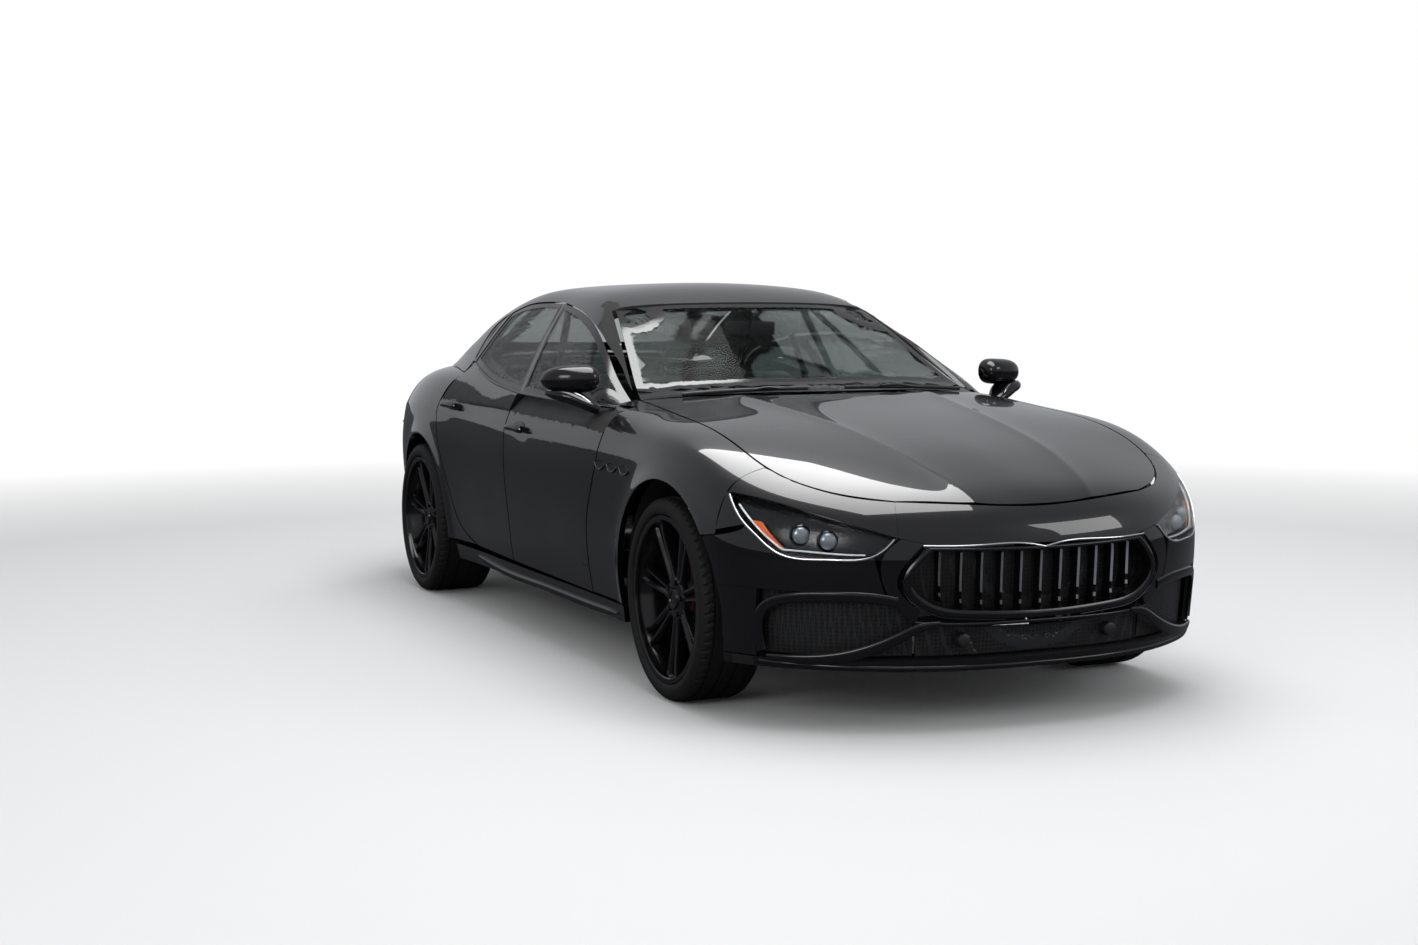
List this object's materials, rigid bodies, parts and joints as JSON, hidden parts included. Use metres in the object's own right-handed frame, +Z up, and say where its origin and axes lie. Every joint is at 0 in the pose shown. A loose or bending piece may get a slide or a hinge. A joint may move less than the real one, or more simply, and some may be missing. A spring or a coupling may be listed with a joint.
{
  "type": "four-door sedan car",
  "caption": "Full-size four-door luxury sedan with hinged doors, hood and trunk lid, steered front wheels, upright-barred grille and paired-spoke wheels.",
  "frame": {"origin": "on the ground, under the middle of the overall length, on the car's centre plane", "axes": "+X to the front, +Y to the car's left, +Z up"},
  "size_m": [4.9654, 2.116, 1.4616],
  "materials": {
    "paint": "gloss black",
    "glass": "dark tint",
    "trim": "gloss black",
    "grille": "dark chrome",
    "lamp": "clear",
    "tail_lamp": "red",
    "tyre": "matt",
    "rim": "gloss black",
    "disc": "machined",
    "running_gear": "coated",
    "liner": "matt",
    "underside": "coated",
    "frame": "satin",
    "engine": "cast",
    "exhaust": "brushed",
    "cabin": "soft touch",
    "seat": "black leather"
  },
  "bodies": {
    "body": {"front_suspension": "running_gear", "rear_suspension": "running_gear", "wheel_houses": "liner", "underbody": "underside", "trunk_tub": "underside", "body_frame": "frame", "roof_frame": "paint", "front_fenders": "paint", "quarter_panels": "paint", "sills": "paint", "fixed_glass": "glass", "cowl": "trim", "front_bumper": "paint", "grille": "grille", "headlights": "lamp", "tail_lights": "tail_lamp", "rear_bumper": "paint", "engine": "engine", "exhaust": "exhaust", "dashboard": "cabin", "front_seats": "seat", "rear_seat": "seat"},
    "hood": {"hood": "paint"},
    "trunk_lid": {"trunk_lid": "paint"},
    "steering_wheel": {"steering_wheel": "cabin"},
    "front_door_left": {"door_front_left": "paint", "door_glass_front_left": "glass", "mirror_left": "paint"},
    "rear_door_left": {"door_rear_left": "paint", "door_glass_rear_left": "glass"},
    "knuckle_left": {"knuckle_front_left": "running_gear"},
    "wheel_front_left": {"tyre_front_left": "tyre", "rim_front_left": "rim", "brake_disc_front_left": "disc"},
    "wheel_rear_left": {"tyre_rear_left": "tyre", "rim_rear_left": "rim", "brake_disc_rear_left": "disc"},
    "front_door_right": {"door_front_right": "paint", "door_glass_front_right": "glass", "mirror_right": "paint"},
    "rear_door_right": {"door_rear_right": "paint", "door_glass_rear_right": "glass"},
    "knuckle_right": {"knuckle_front_right": "running_gear"},
    "wheel_front_right": {"tyre_front_right": "tyre", "rim_front_right": "rim", "brake_disc_front_right": "disc"},
    "wheel_rear_right": {"tyre_rear_right": "tyre", "rim_rear_right": "rim", "brake_disc_rear_right": "disc"}
  },
  "joints": [
    {"name": "front_door_left_hinge", "type": "hinge", "parent": "body", "child": "front_door_left", "pos_m": [0.735, 0.922, 0.55], "axis": [0, 0, -1], "range_deg": [0, 62]},
    {"name": "rear_door_left_hinge", "type": "hinge", "parent": "body", "child": "rear_door_left", "pos_m": [-0.25, 0.922, 0.55], "axis": [0, 0, -1], "range_deg": [0, 65]},
    {"name": "steer_left", "type": "hinge", "parent": "body", "child": "knuckle_left", "pos_m": [1.5475, 0.7395, 0.3525], "axis": [0, 0, 1], "range_deg": [-35, 35]},
    {"name": "wheel_front_left_spin", "type": "hinge", "parent": "knuckle_left", "child": "wheel_front_left", "pos_m": [1.5475, 0.8175, 0.3525], "axis": [0, 1, 0], "continuous": true},
    {"name": "wheel_rear_left_spin", "type": "hinge", "parent": "body", "child": "wheel_rear_left", "pos_m": [-1.4505, 0.8265, 0.3525], "axis": [0, 1, 0], "continuous": true},
    {"name": "front_door_right_hinge", "type": "hinge", "parent": "body", "child": "front_door_right", "pos_m": [0.735, -0.922, 0.55], "axis": [0, 0, 1], "range_deg": [0, 62]},
    {"name": "rear_door_right_hinge", "type": "hinge", "parent": "body", "child": "rear_door_right", "pos_m": [-0.25, -0.922, 0.55], "axis": [0, 0, 1], "range_deg": [0, 65]},
    {"name": "steer_right", "type": "hinge", "parent": "body", "child": "knuckle_right", "pos_m": [1.5475, -0.7395, 0.3525], "axis": [0, 0, 1], "range_deg": [-35, 35]},
    {"name": "wheel_front_right_spin", "type": "hinge", "parent": "knuckle_right", "child": "wheel_front_right", "pos_m": [1.5475, -0.8175, 0.3525], "axis": [0, 1, 0], "continuous": true},
    {"name": "wheel_rear_right_spin", "type": "hinge", "parent": "body", "child": "wheel_rear_right", "pos_m": [-1.4505, -0.8265, 0.3525], "axis": [0, 1, 0], "continuous": true},
    {"name": "hood_hinge", "type": "hinge", "parent": "body", "child": "hood", "pos_m": [0.78, 0, 0.93], "axis": [0, -1, 0], "range_deg": [0, 50]},
    {"name": "trunk_lid_hinge", "type": "hinge", "parent": "body", "child": "trunk_lid", "pos_m": [-1.64, 0, 1.06], "axis": [0, 1, 0], "range_deg": [0, 75]},
    {"name": "steering_wheel_turn", "type": "hinge", "parent": "body", "child": "steering_wheel", "pos_m": [0.5, 0.375, 0.905], "axis": [-0.9135, 0, 0.4067], "range_deg": [-490, 490]}
  ],
  "couplings": [
    {"joint": "steer_right", "follows": "steer_left", "ratio": 1},
    {"joint": "steering_wheel_turn", "follows": "steer_left", "ratio": 14}
  ]
}
